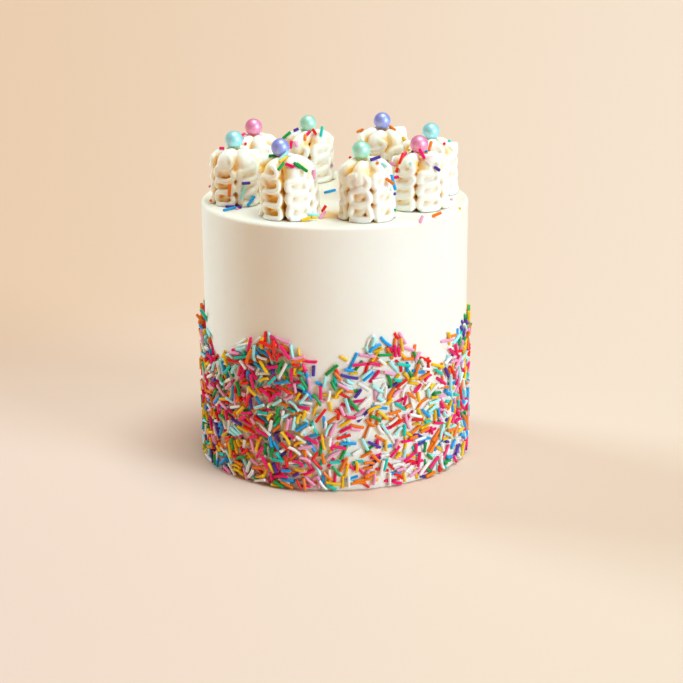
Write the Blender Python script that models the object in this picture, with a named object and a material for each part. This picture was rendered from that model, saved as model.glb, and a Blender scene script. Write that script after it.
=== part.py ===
# A six-inch buttercream cake: a tall smooth cylinder with a band of rod sprinkles round its
# lower half, a ring of eight piped star swirls on top, and a sugar pearl on each swirl.
# Lengths are in metres and angles in degrees. The cake stands on Z = 0 about the Z axis, and
# its front faces -Y. Angles round the cake run from the front towards +X.

import math
import random

import bmesh
import bpy
from mathutils import Vector

# The cake body under its smooth frosting.
CAKE_TOP_RADIUS = 0.0758
CAKE_BASE_RADIUS = 0.0755
CAKE_HEIGHT = 0.1495
RIM_ROUND = 0.0016
BASE_ROUND = 0.0008
CAKE_SEGMENTS = 64

# Each swirl: angle round the cake, distance from its axis, foot radius, height of the peak
# over the cake top, how far the peak leans to +X and +Y, and the turn of its first fin away
# from the rim.
SWIRLS = (
    (18.6, 0.0549, 0.0158, 0.0332, -0.0032, -0.0015, 23.0),
    (61.0, 0.0537, 0.0168, 0.0315, -0.0005, -0.0030, 19.0),
    (103.0, 0.0554, 0.0172, 0.0312, 0.0010, -0.0010, 17.0),
    (149.0, 0.0547, 0.0170, 0.0311, 0.0000, 0.0010, 11.0),
    (197.4, 0.0535, 0.0165, 0.0290, 0.0004, 0.0015, 19.0),
    (238.0, 0.0540, 0.0165, 0.0312, -0.0010, 0.0005, 21.0),
    (281.3, 0.0560, 0.0158, 0.0311, -0.0012, 0.0018, 50.0),
    (331.7, 0.0517, 0.0170, 0.0336, -0.0046, -0.0015, 49.0),
)
FIN_COUNT = 6
FIN_HALF_WIDTH = 13.0
FOLD_SWING = 11.0
FOLD_STROKES = 7
FOLDED_SHARE = 0.77
GROOVE_DEPTH = 0.0024

# The swirl's outer radius and the depth of its crevices, as shares of the foot radius.
WALL_SHARE = 0.95
SHOULDER_SHARE = 0.83
SHOULDER_HEIGHT = 0.89
CREVICE_SHARE = 0.44
TOP_CREVICE_SHARE = 0.52

# The pearls, and the hollow that each one sinks into.
PEARL_RADIUS = 0.0050
CUP_RADIUS = 0.0040
CUP_FLOOR = 0.0021
CUP_DEPTH = 0.0017
GAP = 0.0003

# The rod sprinkles.
ROD_RADIUS = 0.0009
ROD_SIDES = 5
LONGEST_ROD = 0.0095
SHORTEST_ROD = 0.0075
ROD_PROUD = 0.0003
WALL_RODS = 216
TOP_RODS = 12
SWIRL_RODS = 2
SEED = 4

# Crests and dips of the band's upper edge, in turn round the cake: angle and height.
BAND_EDGE = (
    (-81.0, 0.080),
    (-61.0, 0.068),
    (-31.0, 0.087),
    (-17.0, 0.083),
    (-5.0, 0.061),
    (3.0, 0.073),
    (14.0, 0.086),
    (27.0, 0.086),
    (47.0, 0.065),
    (68.0, 0.082),
    (88.0, 0.083),
    (118.0, 0.070),
    (146.0, 0.088),
    (172.0, 0.071),
    (200.0, 0.087),
    (226.0, 0.073),
    (253.0, 0.086),
    (279.0, 0.080),
)
BARE_ANGLE = 2.0
BARE_HALF_WIDTH = 10.0
BARE_SHARE = 0.4

# Rods that stand away from the wall: angle, height, length, and lean out of the wall.
STRAY_RODS = (
    (277.0, 0.0795, 0.0095, 38.0),
    (284.0, 0.0850, 0.0090, 30.0),
    (255.0, 0.0780, 0.0090, 26.0),
    (85.0, 0.0720, 0.0090, 24.0),
    (94.0, 0.0560, 0.0090, 26.0),
    (274.0, 0.0420, 0.0090, 24.0),
    (355.0, 0.0400, 0.0090, 24.0),
    (181.0, 0.0500, 0.0090, 26.0),
)

FROSTING = (0.86, 0.76, 0.60)
PEARL_COLOURS = {
    "mint": (0.42, 0.78, 0.60),
    "pink": (0.85, 0.22, 0.42),
    "blue": (0.32, 0.70, 0.78),
    "lavender": (0.30, 0.30, 0.68),
}
ROD_COLOURS = {
    "hot_pink": (0.80, 0.01, 0.12),
    "red": (0.60, 0.01, 0.01),
    "orange": (0.95, 0.28, 0.01),
    "yellow": (0.90, 0.52, 0.01),
    "green": (0.01, 0.20, 0.04),
    "teal": (0.01, 0.48, 0.38),
    "aqua": (0.42, 0.80, 0.78),
    "blue": (0.01, 0.22, 0.60),
    "indigo": (0.05, 0.02, 0.24),
    "light_pink": (0.80, 0.36, 0.56),
    "cream": (0.85, 0.78, 0.68),
}


def make_material(name, colour, roughness):
    material = bpy.data.materials.new(name)
    material.use_nodes = True
    shader = material.node_tree.nodes["Principled BSDF"]
    shader.inputs["Base Color"].default_value = (*colour, 1.0)
    shader.inputs["Roughness"].default_value = roughness
    shader.inputs["Metallic"].default_value = 0.0
    return material


def make_object(name, bm, material, collection=None, smooth_below=None):
    """One object from a closed mesh, its faces turned outwards."""
    bmesh.ops.recalc_face_normals(bm, faces=bm.faces)
    mesh = bpy.data.meshes.new(name)
    bm.to_mesh(mesh)
    bm.free()
    mesh.materials.append(material)
    if smooth_below is not None:
        mesh.shade_smooth()
        mesh.set_sharp_from_angle(angle=math.radians(smooth_below))
    made = bpy.data.objects.new(name, mesh)
    (collection or bpy.context.scene.collection).objects.link(made)
    return made


def around(angle, radius, height):
    """The point at an angle round the cake, a distance from its axis and a height."""
    turn = math.radians(angle)
    return Vector((radius * math.sin(turn), -radius * math.cos(turn), height))


def loft(bm, rings):
    """Joins rings with the same number of points, from the lowest up, with both ends capped."""
    made = [[bm.verts.new(point) for point in ring] for ring in rings]
    for lower, upper in zip(made, made[1:]):
        count = len(lower)
        for i in range(count):
            j = (i + 1) % count
            bm.faces.new((lower[i], lower[j], upper[j], upper[i]))
    bm.faces.new(made[0][::-1])
    bm.faces.new(made[-1])


def cake_body(material):
    """The turned profile of the frosted cake, with a rounded rim and a slightly eased base."""
    rim = [
        (
            CAKE_TOP_RADIUS - RIM_ROUND * (1 - math.cos(math.radians(a))),
            CAKE_HEIGHT - RIM_ROUND * (1 - math.sin(math.radians(a))),
        )
        for a in (0, 45, 90)
    ]
    profile = [(CAKE_BASE_RADIUS - BASE_ROUND, 0.0), (CAKE_BASE_RADIUS, BASE_ROUND), *rim]
    step = 360.0 / CAKE_SEGMENTS
    bm = bmesh.new()
    loft(bm, [[around(i * step, r, z) for i in range(CAKE_SEGMENTS)] for r, z in profile])
    return make_object("cake", bm, material, smooth_below=30)


def rod(name, centre, along, out, length, bend, material, collection):
    """One sprinkle: a faceted rod, bowed sideways by bend at its middle."""
    side = along.cross(out).normalized()
    out = side.cross(along).normalized()
    half = length / 2
    rings = []
    for reach in (-half, 0.0, half) if bend else (-half, half):
        middle = centre + along * reach + side * bend * (1 - (reach / half) ** 2)
        ring = []
        for i in range(ROD_SIDES):
            turn = 2 * math.pi * i / ROD_SIDES
            ring.append(middle + (side * math.cos(turn) + out * math.sin(turn)) * ROD_RADIUS)
        rings.append(ring)
    bm = bmesh.new()
    loft(bm, rings)
    return make_object(name, bm, material, collection)


def band_edge(angle):
    """Height of the band's upper edge, easing from each crest to the next dip."""
    angle = (angle - BAND_EDGE[0][0]) % 360.0 + BAND_EDGE[0][0]
    for (start, low), (end, high) in zip(BAND_EDGE, BAND_EDGE[1:]):
        if angle <= end:
            share = (1 - math.cos(math.pi * (angle - start) / (end - start))) / 2
            return low + (high - low) * share
    return BAND_EDGE[-1][1]


def wall_radius(height):
    return CAKE_BASE_RADIUS + (CAKE_TOP_RADIUS - CAKE_BASE_RADIUS) * height / CAKE_HEIGHT


def wall_rod_places(draw):
    """Angle, height, slant and length of each rod of the band, spread evenly under its edge."""
    places = []
    tries = 0
    while len(places) < WALL_RODS:
        tries += 1
        angle = 360.0 * (tries * 0.6180340 % 1.0)
        height = (tries * 0.7548777 % 1.0) * band_edge(angle)
        slant = draw.uniform(-90.0, 90.0)
        length = draw.uniform(SHORTEST_ROD, LONGEST_ROD)
        keep = draw.random()
        from_bare = abs((angle - BARE_ANGLE + 180.0) % 360.0 - 180.0)
        if from_bare < BARE_HALF_WIDTH and keep > BARE_SHARE:
            continue
        half_rise = abs(math.sin(math.radians(slant))) * length / 2
        height = max(height, half_rise + ROD_RADIUS + BASE_ROUND)
        places.append((angle, height, slant, length))
    return places


def fuse_wall_rods(draw, materials, collection):
    for i, (angle, height, slant, length) in enumerate(wall_rod_places(draw)):
        out = around(angle, 1.0, 0.0)
        across = Vector((-out.y, out.x, 0.0))
        lean = math.radians(draw.uniform(-5.0, 9.0))
        tilt = math.radians(slant)
        flat = across * math.cos(tilt) + Vector((0.0, 0.0, math.sin(tilt)))
        along = (flat * math.cos(lean) + out * math.sin(lean)).normalized()
        bend = draw.choice((0.0, 0.0, 0.0, 0.0, 0.0009, -0.0012))
        centre = around(angle, wall_radius(height) + ROD_PROUD, height)
        rod(f"wall_rod_{i}", centre, along, out, length, bend, materials[i % len(materials)], collection)


def fuse_stray_rods(materials, collection):
    """Rods held by one end in the frosting, with the other standing out of the wall."""
    for i, (angle, height, length, lean) in enumerate(STRAY_RODS):
        out = around(angle, 1.0, 0.0)
        up = Vector((0.0, 0.0, 1.0))
        tip = math.radians(lean)
        along = up * math.cos(tip) + out * math.sin(tip)
        reach = length / 2 * math.sin(tip)
        centre = around(angle, wall_radius(height) + reach - ROD_RADIUS, height)
        rod(f"stray_rod_{i}", centre, along, out, length, 0.0, materials[i % len(materials)], collection)


def clear_of_swirls(point, reach):
    for angle, distance, foot, *_ in SWIRLS:
        middle = around(angle, distance, point.z)
        if (point - middle).length < foot + reach:
            return False
    return True


def fuse_top_rods(draw, materials, collection):
    """Loose rods lying flat on the cake top, between the swirls and the rim."""
    made = 0
    up = Vector((0.0, 0.0, 1.0))
    while made < TOP_RODS:
        length = draw.uniform(0.0055, 0.0075)
        angle = 360.0 * (made + draw.random()) / TOP_RODS
        radius = draw.uniform(0.030, CAKE_TOP_RADIUS - RIM_ROUND - length / 2)
        turn = math.radians(draw.uniform(0.0, 180.0))
        centre = around(angle, radius, CAKE_HEIGHT + ROD_PROUD)
        if not clear_of_swirls(centre, length / 2 + 2 * ROD_RADIUS):
            continue
        along = Vector((math.cos(turn), math.sin(turn), 0.0))
        rod(f"top_rod_{made}", centre, along, up, length, 0.0, materials[made % len(materials)], collection)
        made += 1


def swirl_ring(spec, height, radius, crevice, swing):
    """A six-finned star at one height: each fin has two shoulders, with a crevice between fins."""
    angle, distance, _, peak, lean_x, lean_y, turn = spec
    share = (height / peak) ** 3
    middle = around(angle, distance, CAKE_HEIGHT + GAP + height)
    middle += Vector((lean_x, lean_y, 0.0)) * share
    ring = []
    for fin in range(FIN_COUNT):
        face = angle + turn + fin * 360.0 / FIN_COUNT
        sway = swing if fin % 2 else -swing
        ring.append(middle + around(face - 180.0 / FIN_COUNT, crevice, 0.0))
        ring.append(middle + around(face - FIN_HALF_WIDTH + sway, radius, 0.0))
        ring.append(middle + around(face + FIN_HALF_WIDTH + sway, radius, 0.0))
    return ring


def swirl_rings(spec):
    """The folded wall's crests and grooves in turn, then the smooth shoulder and the cup."""
    foot, peak = spec[2], spec[3]
    stroke = FOLDED_SHARE * peak / FOLD_STROKES
    rings = [swirl_ring(spec, 0.0, foot - GROOVE_DEPTH / 2, foot * CREVICE_SHARE, 0.0)]
    for i in range(FOLD_STROKES):
        share = 1.0 - (1.0 - WALL_SHARE) * i / (FOLD_STROKES - 1)
        crest = foot * share
        swing = FOLD_SWING if i % 2 else -FOLD_SWING
        rings.append(swirl_ring(spec, (i + 0.5) * stroke, crest, foot * CREVICE_SHARE, swing))
        rings.append(
            swirl_ring(spec, (i + 1) * stroke, crest - GROOVE_DEPTH, foot * CREVICE_SHARE, 0.0)
        )
    rings[-1] = swirl_ring(
        spec, FOLD_STROKES * stroke, foot * WALL_SHARE * 0.97, foot * CREVICE_SHARE, 0.0
    )
    rings.append(
        swirl_ring(
            spec, SHOULDER_HEIGHT * peak, foot * SHOULDER_SHARE, foot * TOP_CREVICE_SHARE, 0.0
        )
    )
    rings.append(swirl_ring(spec, peak, CUP_RADIUS, CUP_RADIUS, 0.0))
    rings.append(swirl_ring(spec, peak - CUP_DEPTH, CUP_FLOOR, CUP_FLOOR, 0.0))
    return rings


def fuse_swirl_rods(draw, number, spec, materials, collection):
    """A few loose rods lying on the smooth shoulders of one swirl, clear of its pearl."""
    angle, distance, foot, peak, lean_x, lean_y, first_fin = spec
    lower = (foot * SHOULDER_SHARE, SHOULDER_HEIGHT * peak)
    upper = (CUP_RADIUS, peak)
    fins = draw.sample(range(FIN_COUNT), SWIRL_RODS)
    for i, fin in enumerate(fins):
        face = angle + first_fin + fin * 360.0 / FIN_COUNT
        share = 0.30
        radius = lower[0] + (upper[0] - lower[0]) * share
        height = lower[1] + (upper[1] - lower[1]) * share
        slope = Vector((upper[0] - lower[0], upper[1] - lower[1]))
        outward = around(face, 1.0, 0.0)
        across = Vector((-outward.y, outward.x, 0.0))
        uphill = (outward * slope.x + Vector((0.0, 0.0, slope.y))).normalized()
        normal = across.cross(uphill)
        if normal.z < 0:
            normal = -normal
        middle = around(angle, distance, CAKE_HEIGHT + GAP + height)
        middle += Vector((lean_x, lean_y, 0.0)) * (height / peak) ** 3
        turn = math.radians(draw.uniform(-25.0, 25.0))
        along = across * math.cos(turn) + uphill * math.sin(turn)
        centre = middle + outward * radius + normal * ROD_PROUD
        name = f"swirl_rod_{number}_{i}"
        material = draw.choice(materials)
        rod(name, centre, along, normal, draw.uniform(0.005, 0.0065), 0.0, material, collection)


def largest_island(mesh):
    """Keeps only the outer body: a sealed hollow or a loose scrap is an island with fewer faces."""
    bm = bmesh.new()
    bm.from_mesh(mesh)
    left = set(bm.faces)
    islands = []
    while left:
        first = left.pop()
        island = [first]
        queue = [first]
        while queue:
            for edge in queue.pop().edges:
                for face in edge.link_faces:
                    if face in left:
                        left.remove(face)
                        island.append(face)
                        queue.append(face)
        islands.append(island)
    islands.sort(key=len)
    for island in islands[:-1]:
        bmesh.ops.delete(bm, geom=island, context="FACES")
    bm.to_mesh(mesh)
    bm.free()


def fuse(body, collection):
    """One union of a body with every rod of a collection, whose objects are then removed."""
    union = body.modifiers.new("fused sprinkles", "BOOLEAN")
    union.operation = "UNION"
    union.solver = "EXACT"
    union.operand_type = "COLLECTION"
    union.collection = collection
    union.material_mode = "TRANSFER"
    graph = bpy.context.evaluated_depsgraph_get()
    joined = bpy.data.meshes.new_from_object(body.evaluated_get(graph))
    body.modifiers.clear()
    body.data = joined
    joined.name = body.name
    largest_island(joined)
    for piece in list(collection.objects):
        bpy.data.objects.remove(piece)
    bpy.data.collections.remove(collection)


def rod_collection(name):
    made = bpy.data.collections.new(name)
    bpy.context.scene.collection.children.link(made)
    return made


def build_cake(draw, frosting, materials):
    body = cake_body(frosting)
    rods = rod_collection("rods_on_cake")
    fuse_wall_rods(draw, materials, rods)
    fuse_stray_rods(materials, rods)
    fuse_top_rods(draw, materials, rods)
    fuse(body, rods)


def build_swirl(draw, number, spec, frosting, materials):
    bm = bmesh.new()
    loft(bm, swirl_rings(spec))
    body = make_object(f"swirl_{number}", bm, frosting, smooth_below=25)
    rods = rod_collection(f"rods_on_swirl_{number}")
    fuse_swirl_rods(draw, number, spec, materials, rods)
    fuse(body, rods)


def build_pearl(number, spec, material):
    angle, distance, _, peak, lean_x, lean_y, _ = spec
    height = CAKE_HEIGHT + GAP + peak - CUP_DEPTH + GAP + PEARL_RADIUS
    bm = bmesh.new()
    bmesh.ops.create_icosphere(bm, subdivisions=2, radius=PEARL_RADIUS)
    pearl = make_object(f"pearl_{number}", bm, material, smooth_below=60)
    pearl.location = around(angle, distance, height) + Vector((lean_x, lean_y, 0.0))


def main():
    for old in list(bpy.data.objects):
        bpy.data.objects.remove(old)
    draw = random.Random(SEED)
    frosting = make_material("buttercream", FROSTING, 0.5)
    rods = [make_material(f"sprinkle_{name}", c, 0.35) for name, c in ROD_COLOURS.items()]
    pearls = [make_material(f"pearl_{name}", c, 0.25) for name, c in PEARL_COLOURS.items()]
    build_cake(draw, frosting, rods)
    for i, spec in enumerate(SWIRLS):
        piped = make_material(f"buttercream_swirl_{i + 1}", FROSTING, 0.5)
        build_swirl(draw, i + 1, spec, piped, rods)
        build_pearl(i + 1, spec, pearls[i % len(pearls)])


main()
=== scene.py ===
import math
import random

import bpy
import numpy as np
from mathutils import Matrix, Vector
from mathutils.bvhtree import BVHTree


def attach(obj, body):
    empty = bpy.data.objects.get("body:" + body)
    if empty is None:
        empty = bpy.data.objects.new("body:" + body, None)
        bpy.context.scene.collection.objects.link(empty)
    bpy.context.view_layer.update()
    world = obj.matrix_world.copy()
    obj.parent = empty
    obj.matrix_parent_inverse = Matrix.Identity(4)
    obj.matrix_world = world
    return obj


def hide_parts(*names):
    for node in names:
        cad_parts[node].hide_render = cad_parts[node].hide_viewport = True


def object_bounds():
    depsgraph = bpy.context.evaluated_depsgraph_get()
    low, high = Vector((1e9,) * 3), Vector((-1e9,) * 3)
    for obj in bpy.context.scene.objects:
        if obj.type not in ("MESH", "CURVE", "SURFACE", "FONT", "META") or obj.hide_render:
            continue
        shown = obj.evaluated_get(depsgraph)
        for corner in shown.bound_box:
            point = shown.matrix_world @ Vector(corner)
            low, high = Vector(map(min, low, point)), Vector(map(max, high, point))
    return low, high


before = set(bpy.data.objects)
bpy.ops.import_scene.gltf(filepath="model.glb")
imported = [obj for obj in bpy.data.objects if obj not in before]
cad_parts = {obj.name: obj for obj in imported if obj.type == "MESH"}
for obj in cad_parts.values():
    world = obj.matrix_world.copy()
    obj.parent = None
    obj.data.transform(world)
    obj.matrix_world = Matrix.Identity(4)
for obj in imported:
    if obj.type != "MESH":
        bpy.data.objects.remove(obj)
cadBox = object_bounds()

mm = 0.001

# the cake's own sizes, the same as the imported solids
cake = {
    "topRadius": 75.8 * mm,
    "baseRadius": 75.5 * mm,
    "height": 149.5 * mm,
    "rimRound": 2.0 * mm,
    "baseRound": 0.8 * mm,
    "sides": 200,
    "wallCuts": 44,
    "rimCuts": 6,
    "baseCuts": 2,
    "topRings": 9,
    "ringStep": 7.6 * mm,
    "unevenness": 0.16 * mm,
}

# each swirl: angle round the cake, turn of its first fin, folds in a fin, and in mm its distance from
# the cake's axis, its foot's radius, its peak's height and the peak's lean
swirlKeys = ("angle", "turn", "loops", "away", "foot", "peak", "leanX", "leanY")
swirlRows = [
    (18.6, 23.0, 3.0, 54.9, 15.8, 33.2, -3.2, -1.5),
    (61.0, 19.0, 3.5, 53.7, 16.8, 31.5, -0.5, -3.0),
    (103.0, 17.0, 3.5, 55.4, 17.2, 31.2, 1.0, -1.0),
    (149.0, 11.0, 3.5, 54.7, 17.0, 31.1, 0.0, 1.0),
    (197.4, 19.0, 3.0, 53.5, 16.5, 29.0, 0.4, 1.5),
    (238.0, 21.0, 3.5, 54.0, 16.5, 31.2, -1.0, 0.5),
    (281.3, 50.0, 3.5, 56.0, 15.8, 31.1, -1.2, 1.8),
    (331.7, 49.0, 3.5, 51.7, 17.0, 33.6, -4.6, -1.5),
]
swirls = [
    dict(zip(swirlKeys, [*row[:3], *(size * mm for size in row[3:])])) for row in swirlRows
]
gap = 0.3 * mm


def around(angle, radius, height):
    turn = math.radians(angle)
    return Vector((radius * math.sin(turn), -radius * math.cos(turn), height))


def setMode(mode):
    bpy.ops.object.mode_set(mode=mode)


def deselectAll():
    if bpy.context.mode != "OBJECT":
        setMode("OBJECT")
    bpy.ops.object.select_all(action="DESELECT")


def selectOnly(piece):
    deselectAll()
    piece.select_set(True)
    bpy.context.view_layer.objects.active = piece


def applyAll(piece):
    selectOnly(piece)
    for modifier in list(piece.modifiers):
        bpy.ops.object.modifier_apply(modifier=modifier.name)


def settle(piece):
    selectOnly(piece)
    bpy.ops.object.transform_apply(location=True, rotation=True, scale=True)


def selectEdges(piece, test):
    # in edit mode, leaves only the edges selected whose two ends pass the test
    bpy.ops.mesh.select_mode(type="EDGE")
    bpy.ops.mesh.select_all(action="DESELECT")
    setMode("OBJECT")
    points = piece.data.vertices
    for edge in piece.data.edges:
        a, b = (points[i].co for i in edge.vertices)
        edge.select = test(a, b)
    setMode("EDIT")


def selectFaces(piece, test):
    bpy.ops.mesh.select_mode(type="FACE")
    bpy.ops.mesh.select_all(action="DESELECT")
    setMode("OBJECT")
    for face in piece.data.polygons:
        face.select = test(face)
    setMode("EDIT")


# the stage's colours, and the camera as fitted to the photograph, with focal and frame in its pixels

stage = {
    # the floor's colours, near the cake and far behind it; the right side is paler than the left as
    # painted light
    "nearLeft": (0.78, 0.57, 0.465),
    "nearRight": (0.82, 0.62, 0.49),
    "farLeft": (0.745, 0.494, 0.34),
    "farRight": (0.84, 0.63, 0.50),
    "airColour": (0.275, 0.115, 0.001),
    "cameraPlace": (1.0 * mm, -1007 * mm, 369.5 * mm),
    "pitch": 16.91,
    "yaw": -0.127,
    "roll": -0.37,
    "focal": 1805.0,
    "frame": 683.0,
}
cameraTurn = (
    Matrix.Rotation(math.radians(stage["yaw"]), 3, "Z")
    @ Matrix.Rotation(math.radians(90 - stage["pitch"]), 3, "X")
    @ Matrix.Rotation(math.radians(stage["roll"]), 3, "Z")
)
cameraPlace = Vector(stage["cameraPlace"])


def sightLine(x, y):
    # the direction from the camera through a point of the photograph
    half = stage["frame"] / 2
    ahead = Vector(((x - half) / stage["focal"], (half - y) / stage["focal"], -1.0))
    return (cameraTurn @ ahead).normalized()


# materials

def setInputs(node, values):
    for name, value in values.items():
        node.inputs[name].default_value = value


def feed(tree, socket, value):
    # a colour or a number is set, and what comes from another node is linked
    if isinstance(value, bpy.types.NodeSocket):
        tree.links.new(value, socket)
    else:
        socket.default_value = (*value, 1.0) if isinstance(value, tuple) else value


def objectCoords(tree):
    return tree.nodes.new("ShaderNodeTexCoord").outputs["Object"]


def noiseNode(tree, coords, scale, detail=2.0):
    noise = tree.nodes.new("ShaderNodeTexNoise")
    setInputs(noise, {"Scale": scale, "Detail": detail})
    tree.links.new(coords, noise.inputs["Vector"])
    return noise.outputs["Fac"]


def mathNode(tree, operation, first, second):
    node = tree.nodes.new("ShaderNodeMath")
    node.operation = operation
    feed(tree, node.inputs[0], first)
    feed(tree, node.inputs[1], second)
    return node.outputs[0]


def mapRange(tree, value, source, result=(0.0, 1.0), smooth=True):
    ramp = tree.nodes.new("ShaderNodeMapRange")
    ramp.interpolation_type = "SMOOTHSTEP" if smooth else "LINEAR"
    ends = ("From Min", "From Max", "To Min", "To Max")
    setInputs(ramp, dict(zip(ends, (*source, *result))))
    tree.links.new(value, ramp.inputs["Value"])
    return ramp.outputs["Result"]


def mixColours(tree, factor, first, second):
    mix = tree.nodes.new("ShaderNodeMix")
    mix.data_type = "RGBA"
    tree.links.new(factor, mix.inputs["Factor"])
    feed(tree, mix.inputs["A"], first)
    feed(tree, mix.inputs["B"], second)
    return mix.outputs["Result"]


def addBump(tree, shader, height, strength, distance):
    bump = tree.nodes.new("ShaderNodeBump")
    setInputs(bump, {"Strength": strength, "Distance": distance})
    tree.links.new(height, bump.inputs["Height"])
    tree.links.new(bump.outputs["Normal"], shader.inputs["Normal"])


def newMaterial(name):
    material = bpy.data.materials.new(name)
    material.use_nodes = True
    return material, material.node_tree, material.node_tree.nodes["Principled BSDF"]


def makeCreamTexture():
    # whipped fat and sugar: soft patches, fine pits, and faint streaks left by a straight scraper
    group = bpy.data.node_groups.new("creamTexture", "ShaderNodeTree")
    for way, names in (("INPUT", ("Streaks", "Pits")), ("OUTPUT", ("Height", "Patches"))):
        for name in names:
            group.interface.new_socket(name=name, in_out=way, socket_type="NodeSocketFloat")
    given = group.nodes.new("NodeGroupInput")
    out = group.nodes.new("NodeGroupOutput")
    coords = objectCoords(group)
    stretch = group.nodes.new("ShaderNodeMapping")
    stretch.inputs["Scale"].default_value = (22.0, 22.0, 900.0)
    group.links.new(coords, stretch.inputs["Vector"])
    streaks = noiseNode(group, stretch.outputs["Vector"], 1.0, 3.0)
    pits = noiseNode(group, coords, 1400.0)
    patches = noiseNode(group, coords, 60.0, 3.0)
    streakPart = mathNode(group, "MULTIPLY", streaks, given.outputs["Streaks"])
    pitPart = mathNode(group, "MULTIPLY", pits, given.outputs["Pits"])
    group.links.new(mathNode(group, "ADD", streakPart, pitPart), out.inputs["Height"])
    group.links.new(patches, out.inputs["Patches"])
    return group


# the icing's colour in the light, and the golden painted shade given to its crevices and to the cake top
# between two swirls
icing = {
    "smoothButtercream": {
        "light": (0.92, 0.865, 0.76),
        "paintedShade": (0.95, 0.6, 0.22),
        "streaks": 0.6,
        "pits": 0.35,
        "subsurface": 0.35,
        "depth": 3.0 * mm,
        "paintedShadeSpot": around(354.0, 46.0 * mm, cake["height"]),
    },
    "pipedButtercream": {
        "light": (0.985, 0.94, 0.84),
        "paintedShade": (0.97, 0.58, 0.09),
        "streaks": 0.0,
        "pits": 0.5,
        "subsurface": 0.5,
        "depth": 4.0 * mm,
        "creviceShadeName": "creviceShade",
    },
}


def makeButtercream(name):
    look = icing[name]
    material, tree, shader = newMaterial(name)
    cream = tree.nodes.new("ShaderNodeGroup")
    cream.node_tree = creamTexture
    setInputs(cream, {"Streaks": look["streaks"], "Pits": look["pits"]})
    yellowed = tuple(c * f for c, f in zip(look["light"], (0.985, 0.965, 0.93)))
    colour = mixColours(tree, cream.outputs["Patches"], look["light"], yellowed)
    # painted shade: the crevices turn golden, more so the deeper they lie
    if "creviceShadeName" in look:
        creviceShade = tree.nodes.new("ShaderNodeAttribute")
        creviceShade.attribute_name = look["creviceShadeName"]
        colour = mixColours(tree, creviceShade.outputs["Fac"], colour, look["paintedShade"])
    if "paintedShadeSpot" in look:  # painted shade: a warm golden spot on the cake top, as if light came warm through the swirls on either side
        away = tree.nodes.new("ShaderNodeVectorMath")
        away.operation = "DISTANCE"
        away.inputs[1].default_value = look["paintedShadeSpot"]
        tree.links.new(objectCoords(tree), away.inputs[0])
        fade = mapRange(tree, away.outputs["Value"], (2.0 * mm, 15.0 * mm), (0.9, 0.0))
        colour = mixColours(tree, fade, colour, look["paintedShade"])
    tree.links.new(colour, shader.inputs["Base Color"])
    setInputs(shader, {
        "Roughness": 0.46,
        "Specular IOR Level": 0.38,
        "Subsurface Weight": look["subsurface"],
        "Subsurface Radius": (1.0, 0.64, 0.28),
        "Subsurface Scale": look["depth"],
    })
    addBump(tree, shader, cream.outputs["Height"], 0.35, 0.12 * mm)
    return material


def makeSugarRod(name, colour):
    # a waxy rod: the colour drifts a little from rod to rod, with a fine dusty skin
    material, tree, shader = newMaterial(name)
    coords = objectCoords(tree)
    drift = noiseNode(tree, coords, 150.0, 1.0)
    darker = tuple(min(1.0, c * 0.80) for c in colour)
    lighter = tuple(min(1.0, c * 1.10 + 0.008) for c in colour)
    tree.links.new(mixColours(tree, drift, darker, lighter), shader.inputs["Base Color"])
    skin = noiseNode(tree, coords, 2600.0)
    shine = mapRange(tree, skin, (0.0, 1.0), (0.30, 0.46), smooth=False)
    tree.links.new(shine, shader.inputs["Roughness"])
    shader.inputs["Specular IOR Level"].default_value = 0.3
    addBump(tree, shader, skin, 0.25, 0.05 * mm)
    return material


def makePearl(name, colour, sheen):
    # a sugar shell with pale grains of mica in it, under a satin glaze
    material, tree, shader = newMaterial(name)
    mica = noiseNode(tree, objectCoords(tree), 900.0, 3.0)
    grain = mapRange(tree, mica, (0.35, 0.75), (0.0, 0.35), smooth=False)
    tree.links.new(mixColours(tree, grain, colour, sheen), shader.inputs["Base Color"])
    setInputs(shader, {
        "Metallic": 0.2,
        "Roughness": 0.5,
        "Coat Weight": 1.0,
        "Coat Roughness": 0.46,
        "Coat IOR": 2.7,
    })
    return material


creamTexture = makeCreamTexture()
wallCream = makeButtercream("smoothButtercream")
pipedCream = makeButtercream("pipedButtercream")
rodColours = {
    "hotPink": (0.97, 0.005, 0.15),
    "red": (0.88, 0.014, 0.006),
    "orange": (1.0, 0.20, 0.002),
    "yellow": (1.0, 0.55, 0.002),
    "green": (0.002, 0.33, 0.06),
    "teal": (0.002, 0.62, 0.48),
    "aqua": (0.42, 0.86, 0.84),
    "blue": (0.002, 0.36, 0.80),
    "indigo": (0.085, 0.035, 0.34),
    "lightPink": (0.93, 0.36, 0.55),
    "cream": (0.93, 0.88, 0.80),
}
rodMaterials = {name: makeSugarRod(name + "Sugar", colour) for name, colour in rodColours.items()}
colourNames = list(rodColours)
# each pearl's colour, and the paler one of its mica
pearlColours = {
    "mint": ((0.31, 0.84, 0.60), (0.75, 0.95, 0.85)),
    "pink": ((0.96, 0.17, 0.44), (1.0, 0.66, 0.82)),
    "blue": ((0.24, 0.80, 0.90), (0.74, 0.95, 0.98)),
    "lavender": ((0.19, 0.25, 0.84), (0.74, 0.72, 0.98)),
}
pearlNames = list(pearlColours)
pearlMaterials = {name: makePearl(name + "Pearl", *pair) for name, pair in pearlColours.items()}
print("materials ready")


# the frosted cake body

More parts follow.
